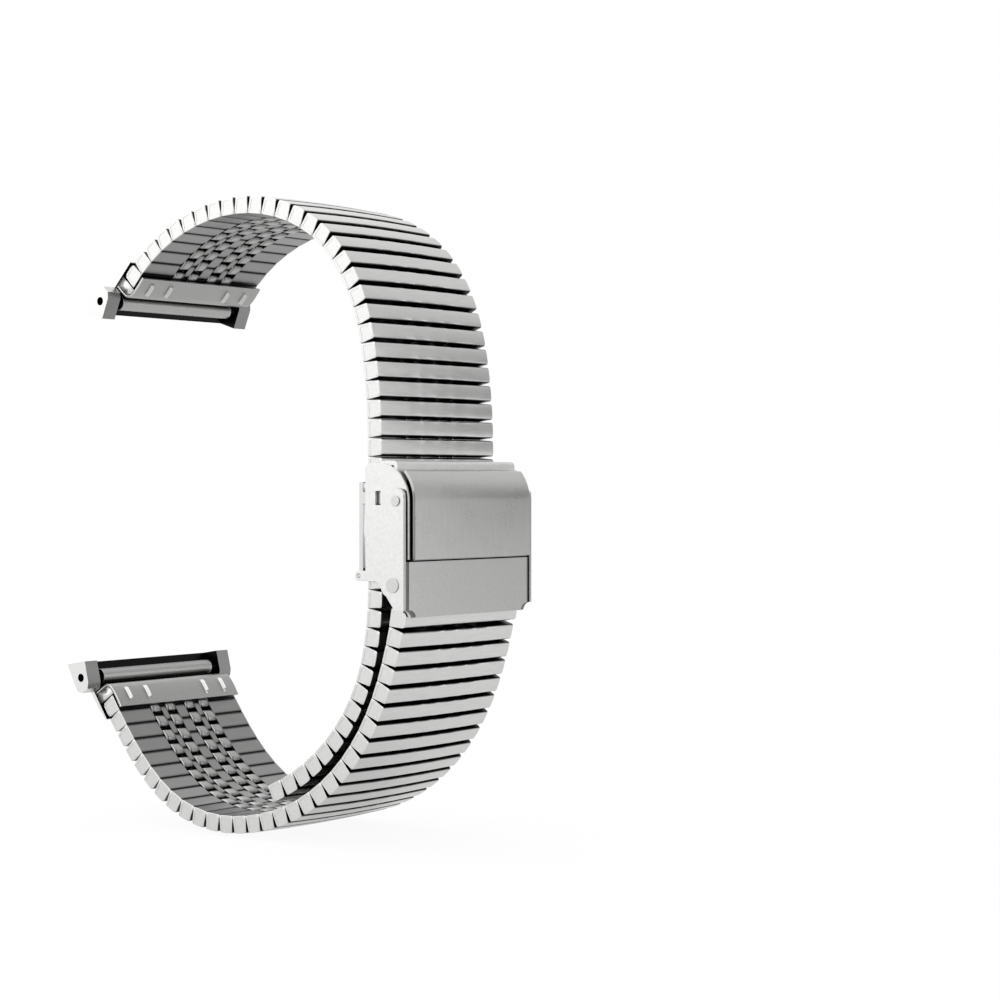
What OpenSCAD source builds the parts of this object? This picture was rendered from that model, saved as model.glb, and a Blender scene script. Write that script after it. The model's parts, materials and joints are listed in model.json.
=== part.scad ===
// Link bracelet for a watch, closed to a loop. Two runs of folded sheet links, woven together by
// small clips, a fold-over clasp that grips the long run, and two lug ends.
// The origin is the axis of the upper end's spring bar, halfway across the band.
// +X runs from the lug ends to the clasp, +Y across the band, +Z up.

/* [Band] */
// Width of the band
band_w = 18; // [15:0.5:24]
// Distance from one link to the next
pitch = 1.86; // [1.8:0.02:2.4]
// Thickness of a link
link_t = 1.95; // [1.7:0.05:2.4]
// Sheet thickness of a link
link_wall = 0.28; // [0.26:0.01:0.34]
// Radius of a link's outer corners
link_r = 0.38; // [0.3:0.02:0.5]
// Gap between links at the wrist face
gap_in = 0.06; // [0.04:0.01:0.1]
// Gap between straight links at the outer face
gap_out = 0.34; // [0.3:0.01:0.5]

/* [Weave] */
// Width of a clip across the band
clip_w = 1.4; // [1:0.1:1.7]
// Sheet thickness of a clip
clip_t = 0.18; // [0.14:0.01:0.2]
// Distance from the middle of the band to the inner clips
clip_y_in = 1.45; // [1.1:0.05:1.6]
// Distance from the middle of the band to the outer clips
clip_y_out = 3.7; // [3.4:0.05:5]
// Clearance round a clip in its window
clip_gap = 0.1; // [0.08:0.01:0.12]

/* [Lengths] */
// Links from the clasp to the upper lug end
upper_links = 27; // [17:1:30]
// Links from the clasp to the lower lug end
lower_links = 28; // [18:1:31]
// Links held inside the clasp
clasp_links = 7; // [7:1:8]
// Links of the free tail
tail_links = 14; // [8:1:16]

/* [Clasp] */
// Clear width between the clasp's cheeks, beyond the band's width
cheek_room = 1; // [0.9:0.05:1.4]
// Sheet thickness of the clasp body
cheek_t = 0.3; // [0.25:0.01:0.4]
// Sheet thickness of the fold lever
arm_t = 0.35; // [0.3:0.01:0.5]
// Play between the lever's arms and the cheeks
arm_play = 0.25; // [0.1:0.01:0.3]
// Thickness of the cover plate
cover_t = 0.3; // [0.25:0.01:0.4]
// Radius of the cover plate's curled end
cover_r = 4.2; // [4:0.1:5]
// Radius of the lever's pivots
pivot_r = 0.3; // [0.25:0.01:0.35]
// Radius of the bar that carries the lower run
bar_r = 0.35; // [0.3:0.01:0.4]
// Running clearance of the clasp's pins
pin_gap = 0.04; // [0.02:0.01:0.08]

/* [Lug ends] */
// Width between the lug ends' outer faces
lug_w = 22; // [20:0.5:28]
// Bore for the spring bar
bore_r = 0.45; // [0.4:0.05:0.6]
// Wall of the spring-bar tube
tube_wall = 0.35; // [0.25:0.05:0.45]
// Gap between the tube's ends and the ears
tube_gap = 0.9; // [0.3:0.1:1.2]
// Sheet thickness of the clamp plate
clamp_t = 0.25; // [0.2:0.01:0.3]

/* [Hidden] */
$fn = 48;
far = 40;
clip_ys = [-clip_y_out, -clip_y_in, clip_y_in, clip_y_out];

// Angle in degrees that each joint is bent at rest, from the clasp outward, between which it runs evenly
upper_bends = [[1, 0.6], [3, 1.8], [6, 2.2], [9, 5.5], [13, 8], [17, 5.8], [22, 4.9], [27, 5.8]];
lower_bends = [[1, 3.8], [2, 2.2], [7, 4.8], [12, 5.2], [17, 4.5], [22, 8.2], [28, 1.7]];
tail_bends = [[1, 2.4], [3, 3.5], [6, 6.2], [10, 5.2], [14, 4.6]];

// A link's section, with the edges along the band where its walls stand
wrist_edge = (pitch - gap_in) / 2;
outer_edge = (pitch - gap_out) / 2;
wrist_cut = 0.08;
hollow_r = link_r - link_wall / 2;
end_wall = 0.3;

// The strips that a clip hooks round, and how far the clips' side openings go out
strip_in = 0.1;
strip_out = 0.26;
strip_end = 0.36;
side_cut = 0.62;
window_depth = 0.5;
outside = 1;
leg_in = strip_end + clip_gap;
leg_out = leg_in + clip_t;
foot_low = strip_out + clip_gap;
foot_share = 0.8;
foot_high = foot_low + foot_share * clip_t;
foot_end = 0.16;

// Clasp places in the XZ plane. x is 0 on the locked links' wrist face, z is 0 on the lever's pivot
entry = [0, 4.33];
pivot = [4.68, 0];
pivot_head_r = 0.52;
bar = [4.3, -8.16];
bar_head_r = 0.75;
head_t = 0.12;
head_play = 0.03;
wall_t = 0.45;
web_x = 5.15;
web_bottom = -7.1;
web_r = 3;
web_arc = 48;
roof_z = 3.9;
roof_r = 0.45;
guide_x = link_t + 0.1;
guide_t = 0.45;
guide_bottom = -7.3;
rib_w = 0.16;
rib_depth = 0.35;
seam_z = -5.65;
seam_slope = 0.1;
cover_x = 6.39;
cover_inset = 0.2;
core_inset = 1.4;
core_gap = 0.09;
curl_z = 0.05;
curl_arc = 42;
curl_trim = 2;
lip_r = 0.25;
lever_x = 5.8;
lever_t = 0.55;
lever_gap = 0.25;
lever_bottom = -10.55;
lever_curve = 1.2;
lever_arc = 68;
lever_groove = 0.25;
arm_left = 3.3;
arm_top = 1.2;
arm_bottom = -9;
arm_slant = 1.2;
arm_r_in = 0.65;
arm_r_out = 1;
lock_t = 0.5;
lock_gap = clip_t + 0.09;
lock_top = 1.83;
lock_hinge = [-lock_gap - lock_t / 2, -7.35];
lock_ear_r = 0.5;
lock_stub_r = 0.18;
tongue_t = 0.2;
tongue_play = 0.1;

// Side outline of a cheek, with an arched top and a hooked foot round the bar
cheek_edge = 0.35;
cheek_cut = 0.4;
cheek_top = 3.7;
cheek_arch = 3.7;
cheek_x = 5.75;
cheek_foot = -9.33;
cheek_toe = 0.25;
ear_end = 1.1;
hook_x = 1.6;
hook_r = 0.4;
heel_x = 3.3;
heel_r = 0.98;
heel_arc = [190, 270];
slot_low = [1.64, -0.41];
slot_high = [2.27, 0.95];

// The lower run hangs from the bar by its end link
end_link_tilt = -10;
end_link_drop = [0.86, 4.31];
knuckle_r = 0.78;
knuckle_arc = [-30, 210];
tab_low = [0.14, pitch - 0.22];
tab_out = 1.5;

// Lug end places as [outward from the wrist face, along the band from the clamp plate's edge]
lug_bore = [1.2, 4.9];
shell_gap = 0.05;
shell_in = link_t + shell_gap;
shell_out = shell_in + 0.45;
shell_edge = 0.3;
shell_belly = 0.05;
shell_lip = [0.3, 0.2];
lip_root = 5.6;
ear_t = 1.8;
ear_near = 3.4;
ear_round = 4.4;
ear_tip = [2.15, 7.2];
ear_brow = [2.3, 6];
ear_heel = [-0.3, 6.05];
ear_throat = [0.5, 3.9];
ear_chin = [1, ear_near];
ear_step = 0.1;
clamp_in = -0.32;
clamp_over = 0.05;
clamp_start = 0.12;
clamp_belly = [0.06, 1.6];
clamp_knee = [0.1, 2.6];
clamp_rise = [0.45, 3.15];
clamp_turn = [0.4, 0.45];
knee_lift = 0.1;
slit_w = 0.25;
slit_y_out = band_w / 2 - 1.8;
slit_y_in = band_w / 2 - 4.6;
slit_ys = [-slit_y_out, -slit_y_in, slit_y_in, slit_y_out];
slit_from = 0.8;
slit_to = 2.4;
leaf_t = 0.25;

// Half widths across the band
cheek_in = (band_w + cheek_room) / 2;
cheek_out = cheek_in + cheek_t;
arm_in = cheek_out + arm_play;
arm_out = arm_in + arm_t;
plate_half = cheek_in - 0.1;
cover_half = cheek_in - cover_inset;
lug_in = lug_w / 2 - ear_t;
tube_half = lug_in - tube_gap;

function sum(v, i = 0) = i < len(v) ? v[i] + sum(v, i + 1) : 0;
function turned(table, k) = k < 1 ? 0 : sum([for (i = [1:k]) lookup(i, table)]);
function outward(a) = [cos(a), sin(a)];
function along(a) = [-sin(a), cos(a)];
function arc(c, r, a0, a1, n) = [for (i = [0:n]) c + r * outward(a0 + (a1 - a0) * i / n)];
function mirrored(v) = concat(v, [for (i = [len(v) - 1:-1:0]) [v[i][0], -v[i][1]]]);

// Angles of the outward normals of link k, counted from the clasp. Way is 1 upward and -1 downward
function face(table, way, first, k) = first + way * turned(table, k);
function knot(table, way, first, start, k) =
    k < 1 ? start : knot(table, way, first, start, k - 1) + way * pitch * along(face(table, way, first, k));

lower_start = bar - end_link_drop[0] * outward(end_link_tilt) - end_link_drop[1] * along(end_link_tilt);
tail_start = entry - [0, clasp_links * pitch];
function upper_face(k) = face(upper_bends, 1, 0, k);
function lower_face(k) = face(lower_bends, -1, end_link_tilt, k);
function tail_face(k) = face(tail_bends, -1, 0, k);
function upper_knot(k) = knot(upper_bends, 1, 0, entry, k);
function lower_knot(k) = knot(lower_bends, -1, end_link_tilt, lower_start, k);
function tail_knot(k) = knot(tail_bends, -1, 0, tail_start, k);

upper_end_face = upper_face(upper_links) + lookup(upper_links, upper_bends);
lower_end_face = lower_face(lower_links) - lookup(lower_links, lower_bends);
origin = upper_knot(upper_links) + lug_bore[0] * outward(upper_end_face)
    + lug_bore[1] * along(upper_end_face);

upper_nodes = [for (k = [1:ceil(upper_links / 2)]) str("upper_links_", k)];
lower_nodes = [for (k = [1:ceil(lower_links / 2)]) str("lower_links_", k)];
tail_nodes = [for (k = [1:ceil(tail_links / 2)]) str("tail_links_", k)];
clasp_nodes = ["clasp_body", "cover_plate", "strap_guide", "locked_links", "lever_pivots", "lock_plate",
    "fold_lever", "strap_bar", "strap_end_link"];
lug_nodes = ["upper_end_shell", "upper_clamp_plate", "upper_bar_tube", "upper_anchor_link",
    "lower_end_shell", "lower_clamp_plate", "lower_bar_tube", "lower_anchor_link"];

// Drawn flat with x outward and y along the band, then stood up across the band
module across(w, y = 0) {
    translate([0, y, 0]) rotate([90, 0, 0]) linear_extrude(w, center = true) children();
}

module both_sides(y_in, y_out) {
    for (side = [-1, 1])
        across(y_out - y_in, side * (y_in + y_out) / 2) children();
}

module block(low, high) {
    translate(low) square(high - low);
}

// A round bar across the band
module bar_through(p, r, w = far) {
    translate([p[0], 0, p[1]]) rotate([90, 0, 0]) cylinder(h = w, r = r, center = true);
}

// The same at both sides only
module side_pins(p, r, y_in, y_out) {
    for (side = [-1, 1])
        translate([0, side * (y_in + y_out) / 2, 0]) bar_through(p, r, y_out - y_in);
}

module place(p, a) {
    translate([p[0] - origin[0], 0, p[1] - origin[1]]) rotate([0, -a, 0]) children();
}

// The clasp's own places are drawn as they stand, then moved with the whole
module clasp() {
    place([0, 0], 0) children();
}

// Half of a link's section, from the wrist face to the outer face
function half_link() = concat(
    [[0, wrist_edge - wrist_cut], [wrist_cut, wrist_edge]],
    arc([link_t - link_r, outer_edge - link_r], link_r, 90, 0, 4));
function half_hollow() = concat(
    [[link_wall, wrist_edge - link_wall]],
    arc([link_t - link_wall - hollow_r, outer_edge - link_wall - hollow_r], hollow_r, 90, 0, 2));

// Room for the clips of one column: a recess, a window and two side openings
module clip_room(y) {
    w = clip_w + clip_gap;
    reach = pitch / 2 + outside;
    window = pitch / 2 - strip_end;
    across(w, y) {
        block([-outside, -reach], [strip_in, reach]);
        block([strip_out, -reach], [side_cut, reach]);
        block([-outside, -window], [window_depth, window]);
    }
}

// One tube link, centred between its two joints
module link() {
    difference() {
        across(band_w) polygon(mirrored(half_link()));
        across(band_w - 2 * end_wall) polygon(mirrored(half_hollow()));
        for (y = clip_ys) clip_room(y);
    }
}

// One clip in each column, astride a joint: a plate on the wrist side with two hooked legs
function half_clip() = [[-clip_t, leg_out], [foot_high, leg_out], [foot_high, foot_end],
    [foot_low, foot_end], [foot_low, leg_in], [0, leg_in]];
module clips() {
    for (y = clip_ys)
        across(clip_w, y) polygon(mirrored(half_clip()));
}

// Link k of a run with the clips at its far joint
module upper_link(k) {
    place((upper_knot(k) + upper_knot(k - 1)) / 2, upper_face(k)) link();
    place(upper_knot(k), upper_face(k) + lookup(k + 1, upper_bends) / 2) clips();
}

module lower_link(k) {
    place((lower_knot(k) + lower_knot(k - 1)) / 2, lower_face(k)) link();
    place(lower_knot(k), lower_face(k) - lookup(k + 1, lower_bends) / 2) clips();
}

module tail_link(k) {
    place((tail_knot(k) + tail_knot(k - 1)) / 2, tail_face(k)) link();
    if (k < tail_links)
        place(tail_knot(k), tail_face(k) - lookup(k + 1, tail_bends) / 2) clips();
}

module upper_pair(n) {
    color("silver") for (k = [2 * n - 1:min(2 * n, upper_links)]) upper_link(k);
}

module lower_pair(n) {
    color("silver") for (k = [2 * n - 1:min(2 * n, lower_links)]) lower_link(k);
}

module tail_pair(n) {
    color("silver") for (k = [2 * n - 1:min(2 * n, tail_links)]) tail_link(k);
}

module locked_links() {
    color("silver") {
        for (k = [1:clasp_links]) place(entry - [0, (k - 0.5) * pitch], 0) link();
        for (k = [1:clasp_links - 1]) place(entry - [0, k * pitch], 0) clips();
        place(entry, lookup(1, upper_bends) / 2) clips();
        place(tail_start, -lookup(1, tail_bends) / 2) clips();
    }
}

function cheek_outline() = concat(
    [[cheek_edge, lock_hinge[1] - lock_ear_r], [ear_end, lock_hinge[1] - lock_ear_r]],
    arc([hook_x, lock_hinge[1] - lock_ear_r - hook_r], hook_r, 90, 0, 4),
    arc([heel_x, cheek_foot + heel_r], heel_r, heel_arc[0], heel_arc[1], 6),
    [[web_x - cheek_toe, cheek_foot], [web_x, cheek_foot + cheek_toe], [web_x, seam_z], [cheek_x, seam_z]],
    arc([cheek_x - cheek_arch, cheek_top - cheek_arch], cheek_arch, 0, 90, 12),
    [[cheek_edge + cheek_cut, cheek_top], [cheek_edge, cheek_top - cheek_cut]]);

arc_end = [web_x - web_r, 0] + web_r * outward(web_arc);
function web_outline() = concat(
    [[web_x, web_bottom]],
    arc([web_x - web_r, 0], web_r, 0, web_arc, 8),
    arc([arc_end[0] - roof_r, roof_z - roof_r], roof_r, 0, 90, 5),
    [[guide_x, roof_z], [guide_x, roof_z - wall_t], [arc_end[0] - wall_t, roof_z - wall_t]],
    arc([web_x - web_r, 0], web_r - wall_t, web_arc, 0, 8),
    [[web_x - wall_t, web_bottom]]);

module clasp_body() {
    notch = bar_r + 2 * pin_gap;
    color("gainsboro") clasp() difference() {
        union() {
            both_sides(cheek_in, cheek_out) {
                polygon(cheek_outline());
                block(lock_hinge - [0, lock_ear_r], [cheek_edge + cheek_cut, lock_hinge[1] + lock_ear_r]);
            }
            side_pins(lock_hinge, lock_ear_r, cheek_in, cheek_out);
            across(2 * cheek_in) polygon(web_outline());
        }
        side_pins(pivot, pivot_r, cheek_in, cheek_out + outside);
        bar_through(lock_hinge, lock_stub_r + pin_gap);
        bar_through(bar, notch);
        both_sides(cheek_in - outside, cheek_out + outside) {
            block(bar - [0, notch], bar + [outside, notch]);
            block(slot_low, slot_high);
        }
    }
}

// The cover's sheet stands proud of the lever and its top end curls over the roof. Its core, narrower
// than the sheet, fills the height down to the web
function cover_outline(t) = concat(
    [[cover_x, seam_z]],
    arc([cover_x - cover_r, curl_z], cover_r, 0, curl_arc, 12),
    arc([cover_x - cover_r, curl_z] + (cover_r - lip_r) * outward(curl_arc), lip_r,
        curl_arc, curl_arc + 90, 3),
    arc([cover_x - cover_r, curl_z], cover_r - t, curl_arc + curl_trim, 0, 12),
    [[cover_x - t, seam_z - seam_slope]]);

module cover_plate() {
    color("darkgray") clasp() {
        across(2 * cover_half) polygon(cover_outline(cover_t));
        across(2 * (cover_half - core_inset)) polygon(cover_outline(cover_x - web_x - core_gap));
    }
}

// A floor under the locked links, with ribs that sit in the gaps between them
module strap_guide() {
    color("gray") clasp() {
        across(2 * cheek_in) block([guide_x, guide_bottom], [guide_x + guide_t, roof_z - wall_t]);
        across(band_w) for (k = [1:floor((entry[1] - guide_bottom) / pitch)])
            translate([guide_x - rib_depth, entry[1] - k * pitch - rib_w / 2])
                square([rib_depth + guide_t / 2, rib_w]);
    }
}

module lever_pivots() {
    head_in = arm_out + head_play;
    color("dimgray") clasp() {
        side_pins(pivot, pivot_r, cheek_in, head_in + head_t / 2);
        side_pins(pivot, pivot_head_r, head_in, head_in + head_t);
    }
}

// The wrist-side plate swings on stubs at its foot and its tongues reach the cheeks' slots
module lock_plate() {
    color("silver") clasp() {
        across(2 * plate_half) block([-lock_gap - lock_t, lock_hinge[1]], [-lock_gap, lock_top]);
        bar_through(lock_hinge, lock_t / 2, 2 * plate_half);
        bar_through(lock_hinge, lock_stub_r, 2 * cheek_out);
        both_sides(plate_half - tongue_t, plate_half)
            block([-lock_gap - lock_t / 2, slot_low[1] + tongue_play],
                [guide_x - tongue_play, slot_high[1] - tongue_play]);
    }
}

// Side outline of a lever arm
function arm_outline() = concat(
    [[arm_left, arm_bottom]],
    arc([arm_left + arm_r_in, arm_top - arm_r_in], arm_r_in, 180, 90, 5),
    arc([lever_x - arm_r_out, arm_top - arm_r_out], arm_r_out, 90, 0, 6),
    [[lever_x, lever_bottom], [arm_left + arm_slant, lever_bottom]]);

// Half of the lever's plate as [along, across], out to y
function lever_half(y) = concat(
    [[seam_z - lever_gap, y]],
    arc([lever_bottom - lever_curve, y], lever_curve, 0, -lever_arc, 6));

module fold_lever() {
    color("lightgray") clasp() difference() {
        union() {
            both_sides(arm_in, arm_out) polygon(arm_outline());
            translate([lever_x, 0, 0]) rotate([0, -90, 0])
                linear_extrude(lever_t) polygon(mirrored(lever_half(cheek_out - lever_groove)));
            translate([lever_x - lever_groove, 0, 0]) rotate([0, -90, 0])
                linear_extrude(lever_t - lever_groove) polygon(mirrored(lever_half(arm_in + arm_t / 2)));
        }
        bar_through(pivot, pivot_r + pin_gap);
        bar_through(bar, bar_r);
    }
}

module strap_bar() {
    color("dimgray") clasp() {
        bar_through(bar, bar_r, 2 * arm_out + head_t);
        side_pins(bar, bar_head_r, arm_out, arm_out + head_t);
    }
}

module strap_end_link() {
    color("silver") difference() {
        union() {
            place(lower_start + pitch / 2 * along(end_link_tilt), end_link_tilt) link();
            place(lower_start, end_link_tilt) across(band_w) polygon(concat(
                [tab_low, [tab_out, tab_low[1]]],
                arc(end_link_drop, knuckle_r, knuckle_arc[0], knuckle_arc[1], 20)));
        }
        clasp() bar_through(bar, bar_r + pin_gap);
    }
    color("silver") place(lower_start, end_link_tilt - lookup(1, lower_bends) / 2) clips();
}

// Lug ends, drawn with x outward from the wrist face and z along the band from the clamp's edge
module upper_lug() {
    place(upper_knot(upper_links), upper_end_face) children();
}

module lower_lug() {
    place(lower_knot(lower_links), lower_end_face) mirror([0, 0, 1]) children();
}

module end_shell() {
    brow = [[shell_out, ear_round], ear_brow, ear_tip];
    color("lightgray") difference() {
        union() {
            across(2 * lug_in) polygon(concat(
                [[shell_in, shell_gap], [shell_out - shell_edge, shell_gap],
                    [shell_out - shell_belly, clamp_belly[1]], [shell_out, ear_near]],
                brow,
                [[shell_in, ear_tip[1]] - shell_lip, [shell_in, lip_root]]));
            both_sides(lug_in, lug_w / 2) polygon(concat(brow,
                [ear_heel, ear_throat, ear_chin, [shell_in - ear_step, ear_near], [shell_out, ear_throat[1]]]));
        }
        bar_through(lug_bore, bore_r);
    }
}

// The plate that clamps the last link from the wrist side, with four lanced slits
module clamp_plate() {
    back = clamp_in - clamp_t;
    color("silver") difference() {
        across(band_w + 2 * clamp_over) polygon([
            [clamp_in, clamp_start], [back, clamp_start], [back - clamp_belly[0], clamp_belly[1]],
            [back + clamp_knee[0], clamp_knee[1]], [back + clamp_rise[0], clamp_rise[1]],
            [clamp_turn[0], ear_near], [shell_in, ear_near], [shell_in, ear_near - clamp_t],
            [clamp_turn[1], ear_near - clamp_t],
            [clamp_in + clamp_rise[0], clamp_rise[1] - clamp_t],
            [clamp_in + clamp_knee[0], clamp_knee[1] - knee_lift], [clamp_in - clamp_belly[0], clamp_belly[1]]]);
        for (y = slit_ys)
            across(slit_w, y) block([-outside, slit_from], [0, slit_to]);
    }
}

// The rolled tube that holds the spring bar, with its leaf against the shell
module bar_tube() {
    color("gray") difference() {
        union() {
            bar_through(lug_bore, bore_r + tube_wall, 2 * tube_half);
            across(2 * tube_half) block([shell_in - leaf_t, ear_near + clamp_t], [shell_in, lug_bore[1]]);
        }
        bar_through(lug_bore, bore_r);
    }
}

module anchor_link() {
    color("silver") translate([0, 0, pitch / 2]) link();
}

clasp_body();
cover_plate();
strap_guide();
locked_links();
lever_pivots();
lock_plate();
fold_lever();
strap_bar();
strap_end_link();
for (n = [1:len(upper_nodes)])
    upper_pair(n);
for (n = [1:len(lower_nodes)])
    lower_pair(n);
for (n = [1:len(tail_nodes)])
    tail_pair(n);
upper_lug() end_shell();  // upper_end_shell
upper_lug() clamp_plate();  // upper_clamp_plate
upper_lug() bar_tube();  // upper_bar_tube
upper_lug() anchor_link();  // upper_anchor_link
lower_lug() end_shell();  // lower_end_shell
lower_lug() clamp_plate();  // lower_clamp_plate
lower_lug() bar_tube();  // lower_bar_tube
lower_lug() anchor_link();  // lower_anchor_link
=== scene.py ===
import bpy
import bmesh
import json
import numpy as np
from math import radians, cos, sin
from mathutils import Matrix, Vector


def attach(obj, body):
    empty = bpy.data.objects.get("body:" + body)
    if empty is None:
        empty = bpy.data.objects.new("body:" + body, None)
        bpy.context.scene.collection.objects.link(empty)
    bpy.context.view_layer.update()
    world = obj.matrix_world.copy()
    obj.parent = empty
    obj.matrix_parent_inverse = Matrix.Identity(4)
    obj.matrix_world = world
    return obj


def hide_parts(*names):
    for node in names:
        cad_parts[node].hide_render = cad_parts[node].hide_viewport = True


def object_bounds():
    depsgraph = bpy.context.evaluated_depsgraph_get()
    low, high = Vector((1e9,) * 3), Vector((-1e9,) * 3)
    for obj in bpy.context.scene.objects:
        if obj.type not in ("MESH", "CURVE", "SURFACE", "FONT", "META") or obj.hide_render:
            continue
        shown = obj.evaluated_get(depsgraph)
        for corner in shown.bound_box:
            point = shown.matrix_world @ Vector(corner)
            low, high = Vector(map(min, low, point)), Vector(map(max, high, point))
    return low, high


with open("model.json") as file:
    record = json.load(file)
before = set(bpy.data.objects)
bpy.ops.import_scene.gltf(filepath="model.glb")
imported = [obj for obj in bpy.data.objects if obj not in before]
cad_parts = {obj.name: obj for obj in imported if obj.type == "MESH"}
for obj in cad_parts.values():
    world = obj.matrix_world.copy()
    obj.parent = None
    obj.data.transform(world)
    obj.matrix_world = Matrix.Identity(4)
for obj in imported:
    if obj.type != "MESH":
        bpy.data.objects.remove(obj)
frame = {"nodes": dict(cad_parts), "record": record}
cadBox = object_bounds()
mm = 0.001

# The strap's line in the XZ plane, in millimetres, and the degrees of bend at its joints, from the clasp
strapLine = dict(
    width=18.0, pitch=1.86, thick=1.95,
    entry=(0.0, 4.33), bar=(4.3, -8.16), endTilt=-10.0, endDrop=(0.86, 4.31), lugBore=(1.2, 4.9),
    lockedCount=7, upperCount=27, lowerCount=28, tailCount=14,
    upperBends=((1, 0.6), (3, 1.8), (6, 2.2), (9, 5.5), (13, 8), (17, 5.8), (22, 4.9), (27, 5.8)),
    lowerBends=((1, 3.8), (2, 2.2), (7, 4.8), (12, 5.2), (17, 4.5), (22, 8.2), (28, 1.7)),
    tailBends=((1, 2.4), (3, 3.5), (6, 6.2), (10, 5.2), (14, 4.6)))
pitch = strapLine["pitch"]
halfBand = strapLine["width"] / 2


def outward(a):
    return np.array([cos(radians(a)), sin(radians(a))])


def along(a):
    return np.array([-sin(radians(a)), cos(radians(a))])


# The joints of a run and the angle of each link: the bends add up to angles, the links add up to joints
def runOfLinks(bends, way, first, start, count):
    steps = np.interp(np.arange(1, count + 1), [b[0] for b in bends], [b[1] for b in bends])
    angles = first + way * np.cumsum(steps)
    directions = np.stack([-np.sin(np.radians(angles)), np.cos(np.radians(angles))], axis=1)
    knots = np.vstack([start, start + way * pitch * np.cumsum(directions, axis=0)])
    return dict(angles=angles, steps=steps, knots=knots, way=way)


entry = np.array(strapLine["entry"])
lowerStart = (np.array(strapLine["bar"]) - strapLine["endDrop"][0] * outward(strapLine["endTilt"])
              - strapLine["endDrop"][1] * along(strapLine["endTilt"]))
tailStart = entry - (0, strapLine["lockedCount"] * pitch)
upperRun = runOfLinks(strapLine["upperBends"], 1, 0, entry, strapLine["upperCount"])
lowerRun = runOfLinks(strapLine["lowerBends"], -1, strapLine["endTilt"], lowerStart,
                      strapLine["lowerCount"])
tailRun = runOfLinks(strapLine["tailBends"], -1, 0, tailStart, strapLine["tailCount"])
upperLug = dict(at=upperRun["knots"][-1], angle=upperRun["angles"][-1] + upperRun["steps"][-1], way=1)
lowerLug = dict(at=lowerRun["knots"][-1], angle=lowerRun["angles"][-1] - lowerRun["steps"][-1], way=-1)
lugs = dict(upper=upperLug, lower=lowerLug)
claspPlace = dict(at=np.zeros(2), angle=0, way=1)
origin = (upperLug["at"] + strapLine["lugBore"][0] * outward(upperLug["angle"])
          + strapLine["lugBore"][1] * along(upperLug["angle"]))


# Points (outward, across, along) in millimetres, turned and moved to their place on the strap, in metres.
# Upwards or downwards from the clasp is the way, 1 or -1
def placed(points, at, angle, way=1):
    n, y, s = points[:, 0], points[:, 1], points[:, 2] * way
    c, d = cos(radians(angle)), sin(radians(angle))
    return np.stack([at[0] - origin[0] + n * c - s * d, y, at[1] - origin[1] + n * d + s * c], axis=1) * mm


# The way back, for the vectors as well, which only turn
def unplaced(points, at, angle, way=1, turnOnly=False):
    c, d = cos(radians(angle)), sin(radians(angle))
    x, z = points[:, 0], points[:, 2]
    if not turnOnly:
        x, z = x / mm + origin[0] - at[0], z / mm + origin[1] - at[1]
    return np.stack([x * c + z * d, points[:, 1] / (1 if turnOnly else mm), (z * c - x * d) * way], axis=1)


def linear(hexColour):
    v = np.array([int(hexColour[i:i + 2], 16) for i in (1, 3, 5)]) / 255
    return tuple(np.where(v <= 0.04045, v / 12.92, ((v + 0.055) / 1.055) ** 2.4)) + (1.0,)


def addNode(tree, kind, settings=None, links=None):
    node = tree.nodes.new(kind)
    for key, value in (settings or {}).items():
        if isinstance(key, str) and hasattr(node, key):
            setattr(node, key, value)
        else:
            node.inputs[key].default_value = value
    for key, source in (links or {}).items():
        tree.links.new(source, node.inputs[key])
    return node


# Rolled and brushed 316L steel: parallel scratches from an abrasive belt spread each light into a soft
# band. The real scratches are about 0.02 mm apart. These are coarser, so that they show, and drawn out
# along the grain. A near-black colour is mixed in as painted shade, as much as an attribute of the mesh
# says: in the gaps between links, in folds, recesses and bores, and under the cover. On the faces towards
# the wrist it is partly painted shade and partly a duller finish. Handling changes the roughness a little.
brushing = dict(scratch=0.9, scratchDetail=3.0, scratchRoughness=0.6, height=0.02, skin="#141414",
                handlingScale=450.0, handlingDetail=2.0, handlingSpread=0.012)


def brushedSteel(name, light, dark, roughness, grain, depth=0.25):
    k = brushing
    material = bpy.data.materials.new(name)
    material.use_nodes = True
    tree = material.node_tree
    tree.nodes.clear()
    coords = addNode(tree, "ShaderNodeTexCoord")
    stretch = addNode(tree, "ShaderNodeMapping", {"Scale": grain}, {"Vector": coords.outputs["Object"]})
    scratches = addNode(tree, "ShaderNodeTexNoise",
                        {"Scale": 1 / (k["scratch"] * mm), "Detail": k["scratchDetail"],
                         "Roughness": k["scratchRoughness"]},
                        {"Vector": stretch.outputs["Vector"]})
    handling = addNode(tree, "ShaderNodeTexNoise",
                       {"Scale": k["handlingScale"], "Detail": k["handlingDetail"]},
                       {"Vector": coords.outputs["Object"]})
    belt = addNode(tree, "ShaderNodeMix", {"data_type": "RGBA", 6: linear(dark), 7: linear(light)},
                   {0: scratches.outputs["Fac"]})
    # The attribute's share of the near-black colour: painted shade, and on wrist faces partly a duller
    # finish
    share = addNode(tree, "ShaderNodeAttribute", {"attribute_name": "skin"})
    tone = addNode(tree, "ShaderNodeMix", {"data_type": "RGBA", 7: linear(k["skin"])},
                   {0: share.outputs["Fac"], 6: belt.outputs[2]})
    spread = addNode(tree, "ShaderNodeMapRange",
                     {"From Min": 0.3, "From Max": 0.7, "To Min": roughness - k["handlingSpread"],
                      "To Max": roughness + k["handlingSpread"]},
                     {"Value": handling.outputs["Fac"]})
    bump = addNode(tree, "ShaderNodeBump", {"Strength": depth, "Distance": k["height"] * mm},
                   {"Height": scratches.outputs["Fac"]})
    steel = addNode(tree, "ShaderNodeBsdfPrincipled", {"Metallic": 1.0},
                    {"Base Color": tone.outputs[2], "Roughness": spread.outputs["Result"],
                     "Normal": bump.outputs["Normal"]})
    addNode(tree, "ShaderNodeOutputMaterial", None, {"Surface": steel.outputs["BSDF"]})
    return material


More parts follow.
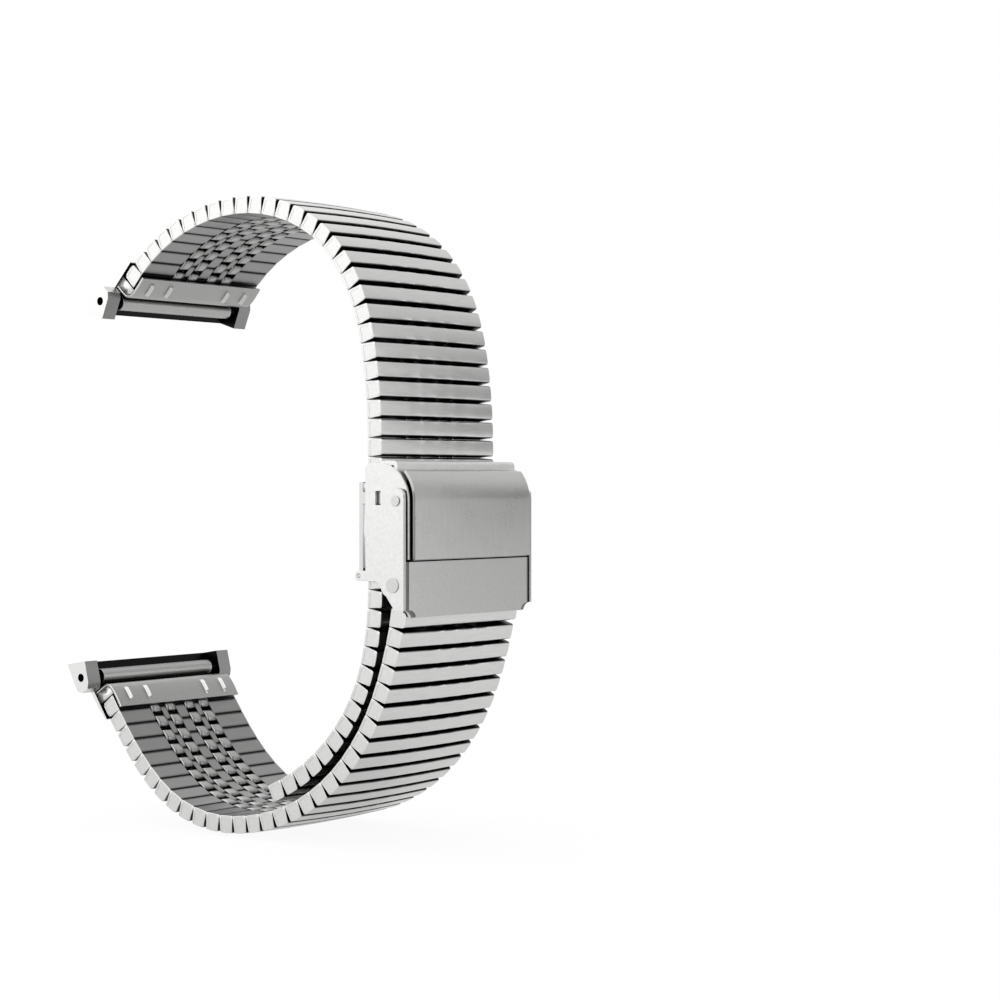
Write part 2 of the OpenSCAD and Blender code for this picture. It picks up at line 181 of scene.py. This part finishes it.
finishes = dict(
    link_steel=brushedSteel("brushedLinkSteel", "#d9d9d8", "#b8b8b7", 0.3, (10, 0.35, 10)),
    clasp_steel=brushedSteel("satinClaspSteel", "#dcdcdb", "#c2c2c1", 0.36, (3, 3, 3)),
    cover_steel=brushedSteel("brushedCoverSteel", "#c4c4c3", "#acacab", 0.28, (10, 10, 0.35)),
    plate_steel=brushedSteel("rolledPlateSteel", "#cdcdcc", "#b8b8b7", 0.36, (6, 1, 6), depth=0.08),
    lug_steel=brushedSteel("satinLugSteel", "#dadad9", "#c8c8c7", 0.36, (8, 0.3, 8), depth=0.05),
    pin_steel=brushedSteel("turnedPinSteel", "#cccccb", "#b0b0af", 0.28, (10, 0.5, 10)))
slotOf = {p["node"]: p["material_slot"] for p in frame["record"]["subparts"]}
for node in frame["nodes"].values():
    node.data.materials.clear()
    node.data.materials.append(finishes[slotOf[node.name]])
print("finishes: brushed steel in", len(finishes), "kinds")


# The shares of near-black on the faces that point to the wrist, for links, sheets and blocks: partly
# painted shade of the loop around them, partly a duller finish
wristShadeAndDull = dict(link=0.6, clip=0.4, clamp=0.38, block=0.64)

# Degrees between faces above which an edge stays sharp, and the rest of what rounds a block's edges
edges = dict(sheet=40, block=35, flat=0.5, weld=1e-6, segments=2)


# The end of every piece: smooth faces with sharp edges, on its body, in the place of its node
def addPiece(name, mesh, node, body, sharpAngle):
    piece = bpy.data.objects.new(name, mesh)
    bpy.context.scene.collection.objects.link(piece)
    mesh.polygons.foreach_set("use_smooth", np.ones(len(mesh.polygons), bool))
    mesh.set_sharp_from_angle(angle=radians(sharpAngle))
    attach(piece, body)
    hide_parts(node)
    return piece


def newPiece(name, points, faces, node, body, skin=None):
    mesh = bpy.data.meshes.new(name)
    mesh.from_pydata(points.tolist(), [], [list(f) for f in faces])
    if skin is not None:
        mesh.attributes.new("skin", "FLOAT", "POINT").data.foreach_set("value", skin.astype(np.float32))
    mesh.materials.append(finishes[slotOf[node]])
    return addPiece(name, mesh, node, body, edges["sheet"])


# A surface given the thickness of its sheet, inwards or, with no offset, to both sides
def thicken(piece, thickness, offset=-1):
    sheet = piece.modifiers.new("sheet", "SOLIDIFY")
    sheet.thickness = thickness * mm
    sheet.offset = offset


# Quads of a grid of rows by columns, closed round the columns or the rows if asked, less the cells in
# the mask
def gridFaces(rows, columns, closed=False, closedRows=False, without=None):
    r, c = np.meshgrid(np.arange(rows if closedRows else rows - 1),
                       np.arange(columns if closed else columns - 1), indexing="ij")
    nextR, nextC = (r + 1) % rows * columns, (c + 1) % columns
    quads = np.stack([r * columns + c, r * columns + nextC, nextR + nextC, nextR + c], axis=-1)
    return quads[np.ones(r.shape, bool) if without is None else ~without]


# A line of points with its corners cut at a quarter and three quarters of each side, a few times over
def rounded(path, passes=3):
    for _ in range(passes):
        cut = np.stack([0.75 * path[:-1] + 0.25 * path[1:], 0.25 * path[:-1] + 0.75 * path[1:]], axis=1)
        path = np.vstack([path[:1], cut.reshape(-1, path.shape[1]), path[-1:]])
    return path


# Millimetres. The shares: stripShare is of a strip's length along the band, and ends gives distances from
# the band's edge with shares of the outline's size
linkShape = dict(wristGap=0.008, outerGap=0.25, outerRadius=0.2, wristRadius=(0.05, 0.34), crown=0.02,
                 acrossCrown=0.16, clipYs=(-3.7, -1.45, 1.45, 3.7), roomHalf=0.75, windowHalf=0.57,
                 recess=0.17, stripShare=0.98, sideOpening=(0.34, 0.72), wallTop=1.1, step=0.02, wall=0.2,
                 ends=((0.03, 0.69), (0, 0.7), (0, 0.96), (0.04, 1), (0.16, 1)),
                 # Last line: the painted shade on the walls between links, over what depth it fades in, how
                 # far below the outer face's top it ends, and how far short of the band's ends it stops
                 shadeDepth=0.012, shadeTop=0.03, shadeEdge=0.06)


# A link's outline as (outward, along), from the middle of the wrist face round: straight walls that lean in
# towards the outer face, joined by quarter ellipses, and a shallow parabola as the outer face
def linkOutline():
    k = linkShape
    thick = strapLine["thick"]
    foot, top = (pitch - k["wristGap"]) / 2, (pitch - k["outerGap"]) / 2
    r, (w, u) = k["outerRadius"], k["wristRadius"]
    quarter = np.radians(np.linspace(180, 90, 5))
    wrist = [[0, 0], [0, k["windowHalf"]]]
    edge = np.stack([w + w * np.cos(quarter), foot - u + u * np.sin(quarter)], axis=1)
    lean = (top - foot) / (thick - r - w)
    wall = [[n, foot + lean * (n - w)] for n in (*k["sideOpening"], k["wallTop"])]
    turn = np.radians(np.linspace(90, 0, 6))
    corner = np.stack([thick - r + r * np.cos(turn), top - r + r * np.sin(turn)], axis=1)
    flat = top - r
    outer = np.array([[thick + k["crown"] * (1 - (s / flat) ** 2), s] for s in (flat / 2, 0)])
    half = np.vstack([wrist, edge, wall, corner, outer])
    return np.vstack([half, half[1:-1][::-1] * (1, -1)])


# One link: the outline carried across the band, with its open cells left out, its ends turned in and its
# outer face falling off as a parabola towards them
def linkSurface():
    k = linkShape
    thick = strapLine["thick"]
    outline = linkOutline()
    h, edge = k["roomHalf"], k["roomHalf"] + k["step"]
    stations = [(depth - halfBand, scale, False) for depth, scale in k["ends"]]
    for y in k["clipYs"]:
        stations += [(y - edge, 1, False), (y - h, 1, True), (y + h, 1, True), (y + edge, 1, False)]
    stations += [(halfBand - depth, scale, False) for depth, scale in k["ends"][::-1]]
    ys, scales, sunk = (np.array(v) for v in zip(*stations))
    centre = np.array([thick / 2, 0])
    section = centre + (outline - centre)[None] * scales[:, None, None]
    section[..., 0] -= k["acrossCrown"] * (ys[:, None] / halfBand) ** 2 * (outline[:, 0] > thick / 2)[None]
    section[..., 0] = np.where(sunk[:, None], np.maximum(section[..., 0], k["recess"]), section[..., 0])
    section[..., 1] *= np.where(sunk, k["stripShare"], 1)[:, None]
    across = np.broadcast_to(ys[:, None], section.shape[:2])
    points = np.stack([section[..., 0], across, section[..., 1]], axis=-1)
    n = (outline[:, 0] + np.roll(outline[:, 0], -1)) / 2
    s = np.abs(outline[:, 1] + np.roll(outline[:, 1], -1)) / 2
    window = (n < k["wristRadius"][0]) & (s < k["windowHalf"])
    side = (n > k["sideOpening"][0]) & (n < k["sideOpening"][1])
    inRoom = sunk[:-1] & sunk[1:]
    faces = gridFaces(len(ys), len(outline), True, without=inRoom[:, None] & (window | side)[None])
    last = (len(ys) - 1) * len(outline)
    caps = [list(range(len(outline)))[::-1], [last + i for i in range(len(outline))]]
    # Painted shade: the walls, seen in the gaps between links, are dark from just above the wrist face to
    # just below the outer face; the wrist face takes its share of painted shade and duller finish; all of
    # it stops short of the band's ends, so the end faces stay light
    fromTop = thick - k["shadeTop"] - outline[:, 0]
    wallShade = np.clip(np.minimum(outline[:, 0], fromTop) / k["shadeDepth"], 0, 1)
    wrist = wristShadeAndDull["link"] * (outline[:, 0] <= k["sideOpening"][0])
    skin = (wrist + (1 - wrist) * wallShade)[None] * (np.abs(ys) < halfBand - k["shadeEdge"])[:, None]
    return points.reshape(-1, 3), faces, caps, skin.ravel()


clipShape = dict(width=1.42, sheet=0.15, reach=0.67, foot=0.53, footEnd=0.3, corner=0.06, bend=0.5,
                 rise=0.27, gap=0.02, edge=0.28, droop=0.04)


# One clip: a strip that arches over the joint, bends down at both ends as quarter ellipses and hooks under,
# carried across its width with drooping edges
def clipSurface():
    k = clipShape
    lift = -k["sheet"] / 2 - k["gap"]
    quarter = np.radians(np.linspace(180, 90, 6))
    bend = np.stack([lift + k["rise"] * (1 + np.cos(quarter)),
                     k["reach"] - k["bend"] * (1 - np.sin(quarter))], axis=1)
    hook = [[k["foot"] - k["corner"], k["reach"]], [k["foot"], k["reach"] - k["corner"]],
            [k["foot"], k["footEnd"]]]
    half = np.vstack([[[lift, 0]], bend, hook])
    path = np.vstack([half[::-1] * (1, -1), half[1:]])
    ys = np.array([-0.5, k["edge"] - 0.5, 0.5 - k["edge"], 0.5]) * k["width"]
    droop = np.array([1, 0, 0, 1]) * k["droop"]
    points = np.zeros((len(path), 4, 3))
    points[..., 0] = path[:, None, 0] + droop[None] * (path[:, 0] < k["foot"] / 2)[:, None]
    points[..., 1] = ys[None]
    points[..., 2] = path[:, None, 1]
    # Painted shade: darker from the wrist share at the top of the arch to full where the strip bends down
    # into the window
    share = np.clip((path[:, 0] - lift) / k["rise"], 0, 1)
    skin = np.repeat(wristShadeAndDull["clip"] + (1 - wristShadeAndDull["clip"]) * share, 4)
    return points.reshape(-1, 3), gridFaces(len(path), 4), skin


linkPoints, linkFaces, linkCaps, linkShadeAndDull = linkSurface()
clipPoints, clipFaces, clipShadeAndDull = clipSurface()


# Several links or clips as one mesh: the same points, placed at each of the given places
def addLinks(name, places, body, node):
    faces = []
    for i in range(len(places)):
        first = i * len(linkPoints)
        faces += (linkFaces + first).tolist() + [[first + v for v in cap] for cap in linkCaps]
    points = np.vstack([placed(linkPoints, at, angle) for at, angle in places])
    thicken(newPiece(name, points, faces, node, body, np.tile(linkShadeAndDull, len(places))), linkShape["wall"])


def addClips(name, places, body, node):
    points, faces = [], []
    for at, angle in places:
        for y in linkShape["clipYs"]:
            faces += (clipFaces + len(points) * len(clipPoints)).tolist()
            points.append(placed(clipPoints + (0, y, 0), at, angle))
    piece = newPiece(name, np.vstack(points), faces, node, body, np.tile(clipShadeAndDull, len(points)))
    thicken(piece, clipShape["sheet"], 0)


def linkPlace(run, k):
    return (run["knots"][k] + run["knots"][k - 1]) / 2, run["angles"][k - 1]


def clipPlace(run, k):
    nextStep = run["steps"][min(k, len(run["steps"]) - 1)]
    return run["knots"][k], run["angles"][k - 1] + run["way"] * nextStep / 2


def makeRun(prefix, run, lastClips=True):
    count = len(run["angles"])
    for i in range((count + 1) // 2):
        node = f"{prefix}_links_{i + 1}"
        ks = [k for k in (2 * i + 1, 2 * i + 2) if k <= count]
        addLinks(f"{prefix}Links{i + 1}", [linkPlace(run, k) for k in ks], node, node)
        clipKs = [k for k in ks if k < count or lastClips]
        if clipKs:
            addClips(f"{prefix}Clips{i + 1}", [clipPlace(run, k) for k in clipKs], node, node)


makeRun("upper", upperRun)
makeRun("lower", lowerRun)
makeRun("tail", tailRun, lastClips=False)
locked = strapLine["lockedCount"]
linkPlaces = [(entry - (0, (k + 0.5) * pitch), 0) for k in range(locked)]
addLinks("lockedLinks", linkPlaces, "clasp", "locked_links")
clipPlaces = [(entry - (0, k * pitch), 0) for k in range(1, locked)]
clipPlaces += [(entry, upperRun["steps"][0] / 2), (tailStart, -tailRun["steps"][0] / 2)]
addClips("lockedClips", clipPlaces, "clasp", "locked_links")
for side, lug in lugs.items():
    middle = lug["at"] + lug["way"] * pitch / 2 * along(lug["angle"])
    addLinks(f"{side}AnchorLink", [(middle, lug["angle"])], f"{side}_lug_end", f"{side}_anchor_link")
print("strap: links and clips made")

claspShape = dict(cheekIn=9.5, armIn=10.05, webTop=2.9, coreHalf=8.2, grooveX=5.55, leverX=5.75,
                  crown=0.14, crownCuts=8, flangeHalf=9.31, flangeOut=(-0.3, 0.3),
                  flangesAlong=((-6.6, -0.34), (0.88, 1.75)), flangeSheet=0.18,
                  # Last line: the groove's share of painted shade, the lever plate's outer face's darker
                  # share, and how near a face must lie to count
                  grooveShade=0.75, leverSkin=0.3, near=0.02)
# The lug ends' shells: half the width of their inside, and how far from its axis a face belongs to the bore
shellShape = dict(inside=9.1, bore=0.6)
# The part of a normal along an axis from which its face counts as turned that way
turned = dict(little=0.2, partly=0.3, half=0.5, mostly=0.7, fully=0.9)


# Painted shade and duller finish on the clasp's faces: the wrist share for faces towards the wrist, from
# their middles p and normals n as (outward, across, along)
def clasped(p, n):
    return np.where(n[:, 0] < -turned["half"], wristShadeAndDull["block"], 0)


# Painted shade: the web's outer face under the cover, between the cheeks, is fully dark
def underCover(p, n):
    inside = (np.abs(p[:, 1]) < claspShape["cheekIn"]) & (p[:, 2] < claspShape["webTop"])
    return np.where(inside & (n[:, 0] > turned["partly"]), 1, clasped(p, n))


# Painted shade: the cover's sides along its core and its underside are fully dark
def coverShade(p, n):
    core = (np.abs(n[:, 1]) > turned["mostly"]) & (np.abs(p[:, 1]) < claspShape["coreHalf"])
    return np.where(core | (n[:, 0] < -turned["partly"]), 1, 0)


# Whether a face looks towards the middle of the band
def facesMiddle(p, n):
    return n[:, 1] * np.sign(p[:, 1]) < -turned["mostly"]


# Painted shade on the arms' insides, which face the middle, and in the groove; the plate's outer face a
# little darker all over; faces towards the wrist as on the clasp
def leverSkin(p, n):
    k = claspShape
    armInside = facesMiddle(p, n) & (np.abs(p[:, 1]) < k["armIn"] + k["near"])
    groove = (n[:, 0] > turned["mostly"]) & (np.abs(p[:, 0] - k["grooveX"]) < k["near"])
    return np.select([armInside, groove, n[:, 0] > turned["fully"]], [1, k["grooveShade"], k["leverSkin"]],
                     clasped(p, n))


# Painted shade: the shell's inside and the ears' inner sides and bores are dark; the ears' wrist side takes
# the wrist share of painted shade and duller finish
def shellShadeAndDull(p, n):
    bn, bs = strapLine["lugBore"]
    nearBore = np.hypot(p[:, 0] - bn, p[:, 2] - bs) < shellShape["bore"]
    hidden = (nearBore & (np.abs(n[:, 1]) < turned["partly"])) | facesMiddle(p, n)
    inside = (n[:, 0] < -turned["half"]) & (np.abs(p[:, 1]) < shellShape["inside"])
    return np.select([hidden | inside, n[:, 0] < -turned["little"]], [1, wristShadeAndDull["block"]], 0)


# A CAD node's mesh with its doubles merged, a crown if asked, its painted shade and duller finish set face
# by face and its edges rounded
def softened(node, body, place, shadeAndDullOf=clasped, width=0.05, crownFrom=None):
    words = node.split("_")
    name = words[0] + "".join(w.capitalize() for w in words[1:])
    mesh = frame["nodes"][node].data.copy()
    mesh.name = name
    work = bmesh.new()
    work.from_mesh(mesh)
    bmesh.ops.remove_doubles(work, verts=work.verts, dist=edges["weld"])
    bmesh.ops.dissolve_limit(work, angle_limit=radians(edges["flat"]), verts=work.verts, edges=work.edges)
    if crownFrom is not None:
        crownX = (crownFrom - origin[0]) * mm
        half = max(abs(v.co.y) for v in work.verts if v.co.x > crownX)
        for y in np.linspace(-half, half, claspShape["crownCuts"] + 2)[1:-1]:
            everything = list(work.verts) + list(work.edges) + list(work.faces)
            bmesh.ops.bisect_plane(work, geom=everything, plane_co=(0, y, 0), plane_no=(0, 1, 0))
        for v in work.verts:
            if v.co.x > crownX:
                v.co.x -= claspShape["crown"] * mm * (v.co.y / half) ** 2
    work.to_mesh(mesh)
    work.free()
    if "custom_normal" in mesh.attributes:
        mesh.attributes.remove(mesh.attributes["custom_normal"])
    middles, normals = np.empty(len(mesh.polygons) * 3), np.empty(len(mesh.polygons) * 3)
    mesh.polygons.foreach_get("center", middles)
    mesh.polygons.foreach_get("normal", normals)
    skin = shadeAndDullOf(unplaced(middles.reshape(-1, 3), **place),
                  unplaced(normals.reshape(-1, 3), turnOnly=True, **place))
    mesh.attributes.new("skin", "FLOAT", "FACE").data.foreach_set("value", skin.astype(np.float32))
    rounding = addPiece(name, mesh, node, body, edges["block"]).modifiers.new("edges", "BEVEL")
    rounding.width = width * mm
    rounding.segments = edges["segments"]
    rounding.limit_method = "ANGLE"
    rounding.angle_limit = radians(edges["block"])
    rounding.harden_normals = True


softened("clasp_body", "clasp", claspPlace, underCover, 0.06)
softened("cover_plate", "clasp", claspPlace, coverShade, 0.09, crownFrom=1.0)
softened("strap_guide", "clasp", claspPlace, width=0.04)
softened("lever_pivots", "clasp", claspPlace)
softened("lock_plate", "lock_plate", claspPlace, width=0.06)
softened("fold_lever", "fold_lever", claspPlace, leverSkin, 0.07, crownFrom=claspShape["leverX"])
softened("strap_bar", "fold_lever", claspPlace)
softened("strap_end_link", "strap_end_link", claspPlace, width=0.04)


# The lock plate's folded edges, flat strips between the locked links' ends and the cheeks
def lockFlanges():
    k = claspShape
    strips = []
    for y in (-k["flangeHalf"], k["flangeHalf"]):
        for reach in k["flangesAlong"]:
            n, s = np.meshgrid(k["flangeOut"], reach, indexing="ij")
            strips.append(np.stack([n.ravel(), np.full(4, y), s.ravel()], axis=1))
    faces = np.array([0, 1, 3, 2]) + 4 * np.arange(len(strips))[:, None]
    points = placed(np.vstack(strips), **claspPlace)
    thicken(newPiece("lockPlateFlanges", points, faces, "lock_plate", "lock_plate"), k["flangeSheet"], 0)


lockFlanges()
print("clasp made")

# The shell's ends, folded down beside the clamped link as far as the tube's leaf
shellSide = dict(y=9.02, sheet=0.12,
                 outline=((1.98, 1.92), (1.98, 3.08), (0.45, 3.08), (0.1, 2.9), (-0.2, 2.5), (-0.28, 1.92)))


def shellSides(side, lug):
    k = shellSide
    outline = np.array(k["outline"])
    points = np.vstack([np.insert(outline, 1, y, axis=1) for y in (-k["y"], k["y"])])
    count = len(outline)
    faces = [list(range(count))[::lug["way"]], [count + i for i in range(count)][::-lug["way"]]]
    node, body = f"{side}_end_shell", f"{side}_lug_end"
    thicken(newPiece(f"{side}ShellSides", placed(points, **lug), faces, node, body), k["sheet"], 0)


# Painted shade on the tube: it grows along the strap from a given distance past the bore's axis over a
# given length, between two shares, is full on its outward side and in its bore, and half at its end rims
tubeShape = dict(radius=0.8, bore=0.45, half=8.3, rim=0.05, leafIn=1.75, leafOut=2.0, leafEnd=3.65,
                 sides=40, rimShade=0.5, shadeFrom=0.1, shadeOver=0.5, dull=(0.3, 0.85), darkFrom=0.3)


# The rolled tube: a circle with a leaf to the shell, carried across the band and back through the bore
def barTube(side, lug):
    k = tubeShape
    bn, bs = strapLine["lugBore"]
    start = np.degrees(np.arcsin((k["leafIn"] - bn) / k["radius"])) - 90
    angle = np.radians(360 + start - np.linspace(0, 360 + start, k["sides"] + 1))
    ring = np.stack([bn + k["radius"] * np.cos(angle), bs + k["radius"] * np.sin(angle)], axis=1)
    leaf = [[k["leafOut"], (bs + k["leafEnd"]) / 2], [k["leafOut"], k["leafEnd"]],
            [k["leafIn"], k["leafEnd"]]]
    ring = np.vstack([ring, leaf])
    spin = np.radians(360 + start - np.linspace(0, 360, len(ring), endpoint=False))
    hole = np.stack([bn + k["bore"] * np.cos(spin), bs + k["bore"] * np.sin(spin)], axis=1)
    small = ring + k["rim"] * (hole - ring) / np.linalg.norm(hole - ring, axis=1)[:, None]
    half, inner = k["half"], k["half"] - k["rim"]
    rows = [(-half, small, k["rimShade"]), (-inner, ring, 0), (inner, ring, 0), (half, small, k["rimShade"]),
            (half, hole, 1), (-half, hole, 1)]
    points = np.vstack([np.insert(outline, 1, y, axis=1) for y, outline, _ in rows])
    # Painted shade along the strap, full on the outward side next to the shell
    dull = np.clip((ring[:, 1] - bs - k["shadeFrom"]) / k["shadeOver"], *k["dull"])
    dull[ring[:, 0] > bn + k["darkFrom"]] = 1
    skin = np.concatenate([np.maximum(dull, share) for _, _, share in rows])
    faces = gridFaces(len(rows), len(ring), True, closedRows=True)[:, ::lug["way"]]
    newPiece(f"{side}BarTube", placed(points, **lug), faces, f"{side}_bar_tube", f"{side}_lug_end", skin)


# slitSteps: distance across the band from the slit's line, share of its rise, and 0 where the painted shade
# is left off as a painted highlight.
# edgeSteps: distances from the sheet's edge, where its painted highlight along the rim ends and where its
# face with the wrist share of painted shade and duller finish begins
clampShape = dict(half=9.05, sheet=0.25,
                  path=((-0.57, 0.12), (-0.63, 1.6), (-0.5, 2.62), (-0.12, 3.2), (0.4, 3.4), (1.95, 3.4)),
                  slitYs=(-7.2, -4.4, 4.4, 7.2), slitFrom=0.6, slitTo=2.5, slitRise=0.34, slitFade=0.3,
                  slitSteps=((-0.22, 0, 1), (-0.2, 0, 0), (0.0, 1, 0), (0.02, 1, 1), (0.12, 0, 1)),
                  edgeSteps=(0.03, 0.05))


# The clamp plate: its bent profile carried across the band, with four lanced slits, each a small ridge that
# is steeper on its far side
def clampPlate(side, lug):
    k = clampShape
    path = rounded(np.array(k["path"]))
    half, (bright, face) = k["half"], k["edgeSteps"]
    stations = [(-half, 0, 0), (bright - half, 0, 0), (face - half, 0, 1)]
    stations += [(y + dy, rise, dull) for y in k["slitYs"] for dy, rise, dull in k["slitSteps"]]
    stations += [(half - face, 0, 1), (half - bright, 0, 0), (half, 0, 0)]
    ys, heights, dull = (np.array(v) for v in zip(*stations))
    fade = np.clip(np.minimum(path[:, 1] - k["slitFrom"], k["slitTo"] - path[:, 1]) / k["slitFade"], 0, 1)
    fade = fade * (path[:, 0] < 0)
    n = path[None, :, 0] - k["slitRise"] * heights[:, None] * fade[None]
    across, up = np.broadcast_to(ys[:, None], n.shape), np.broadcast_to(path[:, 1], n.shape)
    points = placed(np.stack([n, across, up], axis=-1).reshape(-1, 3), **lug)
    # Painted highlight: the rims and one side of each slit's ridge lose the plate's wrist share of painted
    # shade and duller finish
    brightShare = np.where((np.abs(ys) >= half - face)[:, None], 1, fade[None])
    skin = wristShadeAndDull["clamp"] * (1 - (1 - dull[:, None]) * brightShare)
    faces = gridFaces(len(ys), len(path))[:, ::lug["way"]]
    node, body = f"{side}_clamp_plate", f"{side}_lug_end"
    thicken(newPiece(f"{side}ClampPlate", points, faces, node, body, skin.ravel()), k["sheet"])


for side, lug in lugs.items():
    softened(f"{side}_end_shell", f"{side}_lug_end", lug, shellShadeAndDull, 0.08)
    shellSides(side, lug)
    barTube(side, lug)
    clampPlate(side, lug)
print("lug ends made")

# floorWhite and worldWhite: how much of white the camera and the glossy rays see in them.
# boxes: direction, cosines of the angle from it where the light begins and where it is full, strength
studio = dict(floorDrop=0.0002, floorSize=3.0, paper="#dcdcdc", floorWhite=(0.93, 0.66),
              worldWhite=(1.0, 0.05), fill=0.12,
              boxes=(((-0.5, -0.75, 0.45), -0.3, 0.75, 1.75),
                     ((0.96, 0.24, 0.15), 0.84, 0.93, 2.7),
                     ((-0.1, 0.65, 0.75), 0.5, 0.9, 0.82)))


def seenWhite(tree, cameraShare, glossyShare):
    path = addNode(tree, "ShaderNodeLightPath")
    glossy = addNode(tree, "ShaderNodeMath", {"operation": "MULTIPLY", 1: glossyShare},
                     {0: path.outputs["Is Glossy Ray"]})
    seen = addNode(tree, "ShaderNodeMath", {"operation": "MULTIPLY", 1: cameraShare},
                   {0: path.outputs["Is Camera Ray"]})
    return addNode(tree, "ShaderNodeMath", {"operation": "MAXIMUM"},
                   {0: seen.outputs[0], 1: glossy.outputs[0]})


def seamlessPaper():
    paper = bpy.data.materials.new("seamlessPaper")
    paper.use_nodes = True
    tree = paper.node_tree
    tree.nodes.clear()
    share = seenWhite(tree, *studio["floorWhite"])
    matt = addNode(tree, "ShaderNodeBsdfDiffuse", {"Color": linear(studio["paper"])})
    white = addNode(tree, "ShaderNodeEmission", {"Color": (1, 1, 1, 1), "Strength": 1.0})
    both = addNode(tree, "ShaderNodeMixShader", None,
                   {0: share.outputs[0], 1: matt.outputs[0], 2: white.outputs[0]})
    addNode(tree, "ShaderNodeOutputMaterial", None, {"Surface": both.outputs[0]})
    return paper


def addFloor():
    size, z = studio["floorSize"], cadBox[0][2] - studio["floorDrop"]
    mesh = bpy.data.meshes.new("floor")
    corners = [(-size, -size, z), (size, -size, z), (size, size, z), (-size, size, z)]
    mesh.from_pydata(corners, [], [(0, 1, 2, 3)])
    mesh.materials.append(seamlessPaper())
    floor = bpy.data.objects.new("floor", mesh)
    bpy.context.scene.collection.objects.link(floor)


# The studio as a world: a fill, and soft boxes that each fade out smoothly with the angle from their
# direction
def addStudio():
    world = bpy.data.worlds.new("studio")
    bpy.context.scene.world = world
    world.use_nodes = True
    tree = world.node_tree
    tree.nodes.clear()
    coords = addNode(tree, "ShaderNodeTexCoord")
    total = addNode(tree, "ShaderNodeValue")
    total.outputs[0].default_value = studio["fill"]
    for direction, begins, full, strength in studio["boxes"]:
        facing = addNode(tree, "ShaderNodeVectorMath",
                         {"operation": "DOT_PRODUCT", 1: tuple(Vector(direction).normalized())},
                         {0: coords.outputs["Generated"]})
        level = addNode(tree, "ShaderNodeMapRange",
                        {"interpolation_type": "SMOOTHSTEP", "From Min": begins, "From Max": full,
                         "To Max": strength},
                        {"Value": facing.outputs["Value"]})
        total = addNode(tree, "ShaderNodeMath", {"operation": "ADD"},
                        {0: total.outputs[0], 1: level.outputs[0]})
    soft = addNode(tree, "ShaderNodeBackground", {"Color": (1, 1, 1, 1)}, {"Strength": total.outputs[0]})
    plain = addNode(tree, "ShaderNodeBackground", {"Color": (1, 1, 1, 1), "Strength": 1.0})
    share = seenWhite(tree, *studio["worldWhite"])
    both = addNode(tree, "ShaderNodeMixShader", None,
                   {0: share.outputs[0], 1: soft.outputs[0], 2: plain.outputs[0]})
    addNode(tree, "ShaderNodeOutputWorld", None, {"Surface": both.outputs[0]})


# The camera as it was fitted to the photograph: off to one side and almost level with the clasp
view = dict(place=(184.03, -184.0, -19.23), azimuth=37.058, elevation=0.4473, lens=84.08, sensor=36,
            clip=(0.01, 20))


def addCamera():
    camera = bpy.data.objects.new("camera", bpy.data.cameras.new("camera"))
    bpy.context.scene.collection.objects.link(camera)
    camera.data.lens = view["lens"]
    camera.data.sensor_width = view["sensor"]
    camera.data.clip_start, camera.data.clip_end = view["clip"]
    camera.location = Vector(view["place"]) * mm
    a, e = radians(view["azimuth"]), radians(view["elevation"])
    back = Vector((sin(a) * cos(e), -cos(a) * cos(e), sin(e)))
    right = Vector((cos(a), sin(a), 0))
    camera.rotation_euler = Matrix((right, back.cross(right), back)).transposed().to_euler()
    bpy.context.scene.camera = camera


addFloor()
addStudio()
addCamera()
bpy.context.scene.view_settings.view_transform = "Standard"
print("floor, light and camera set")
